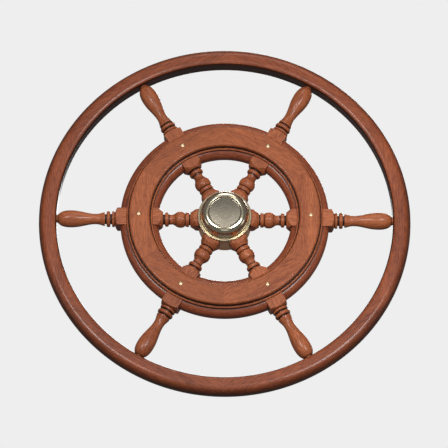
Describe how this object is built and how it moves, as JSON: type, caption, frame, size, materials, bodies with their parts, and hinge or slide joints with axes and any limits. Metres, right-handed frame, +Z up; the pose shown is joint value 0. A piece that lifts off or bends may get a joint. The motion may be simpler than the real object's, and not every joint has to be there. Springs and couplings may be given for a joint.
{
  "type": "ship steering wheel",
  "caption": "Spoked wooden steering wheel with a round rim, turned handles, a moulded ring and a metal hub on a short shaft in a flanged bearing.",
  "frame": {"origin": "centre of the shaft bearing's mounting face, on the shaft's axis", "axes": "+Y along the shaft away from the helm, so the wheel's face looks along -Y; +Z up; one spoke points along +X"},
  "size_m": [0.7, 0.1479, 0.7],
  "materials": {
    "mahogany_rim": "varnished mahogany, gloss",
    "mahogany_spoke": "varnished mahogany, gloss",
    "mahogany_felloe": "varnished mahogany, gloss",
    "mahogany_facing": "varnished mahogany, satin gloss",
    "brass_screw": "bright brass",
    "bronze_hub": "satin bronze",
    "brass_flange": "polished brass",
    "polished_brass": "polished pale brass with a satin disc",
    "black_rubber": "black nitrile",
    "stainless_steel": "turned stainless steel",
    "bearing_bronze": "oiled bronze",
    "white_enamel": "white enamel on cast metal"
  },
  "bodies": {
    "bearing": {"bearing_housing": "white_enamel", "front_bush": "bearing_bronze", "rear_bush": "bearing_bronze", "mounting_bolt_1": "stainless_steel", "mounting_bolt_2": "stainless_steel", "mounting_bolt_3": "stainless_steel", "mounting_bolt_4": "stainless_steel"},
    "wheel": {"felloe_1": "mahogany_felloe", "felloe_2": "mahogany_felloe", "felloe_3": "mahogany_felloe", "felloe_4": "mahogany_felloe", "felloe_5": "mahogany_felloe", "felloe_6": "mahogany_felloe", "front_plate_screw_1": "brass_screw", "front_plate_screw_2": "brass_screw", "front_plate_screw_3": "brass_screw", "front_ring_segment_1": "mahogany_facing", "front_ring_segment_2": "mahogany_facing", "front_ring_segment_3": "mahogany_facing", "front_ring_segment_4": "mahogany_facing", "front_ring_segment_5": "mahogany_facing", "front_ring_segment_6": "mahogany_facing", "helm_shaft": "stainless_steel", "hub_drum": "bronze_hub", "hub_front_plate": "brass_flange", "hub_rear_plate": "bronze_hub", "rear_plate_screw_1": "brass_screw", "rear_plate_screw_2": "brass_screw", "rear_plate_screw_3": "brass_screw", "rear_ring_segment_1": "mahogany_facing", "rear_ring_segment_2": "mahogany_facing", "rear_ring_segment_3": "mahogany_facing", "rear_ring_segment_4": "mahogany_facing", "rear_ring_segment_5": "mahogany_facing", "rear_ring_segment_6": "mahogany_facing", "rim_segment_1": "mahogany_rim", "rim_segment_2": "mahogany_rim", "rim_segment_3": "mahogany_rim", "rim_segment_4": "mahogany_rim", "rim_segment_5": "mahogany_rim", "rim_segment_6": "mahogany_rim", "ring_screw_1": "brass_screw", "ring_screw_2": "brass_screw", "ring_screw_3": "brass_screw", "ring_screw_4": "brass_screw", "ring_screw_5": "brass_screw", "ring_screw_6": "brass_screw", "shaft_collar": "stainless_steel", "shaft_key": "stainless_steel", "shaft_nut": "stainless_steel", "shaft_washer": "stainless_steel", "spoke_1": "mahogany_spoke", "spoke_2": "mahogany_spoke", "spoke_3": "mahogany_spoke", "spoke_4": "mahogany_spoke", "spoke_5": "mahogany_spoke", "spoke_6": "mahogany_spoke"},
    "cap": {"hub_cap": "polished_brass", "cap_seal_ring": "black_rubber"}
  },
  "joints": [
    {"name": "wheel_spin", "type": "hinge", "parent": "bearing", "child": "wheel", "pos_m": [0, -0.05, 0], "axis": [0, 1, 0], "continuous": true},
    {"name": "cap_pull", "type": "slide", "parent": "wheel", "child": "cap", "axis": [0, -1, 0], "range_m": [0, 0.025]}
  ]
}
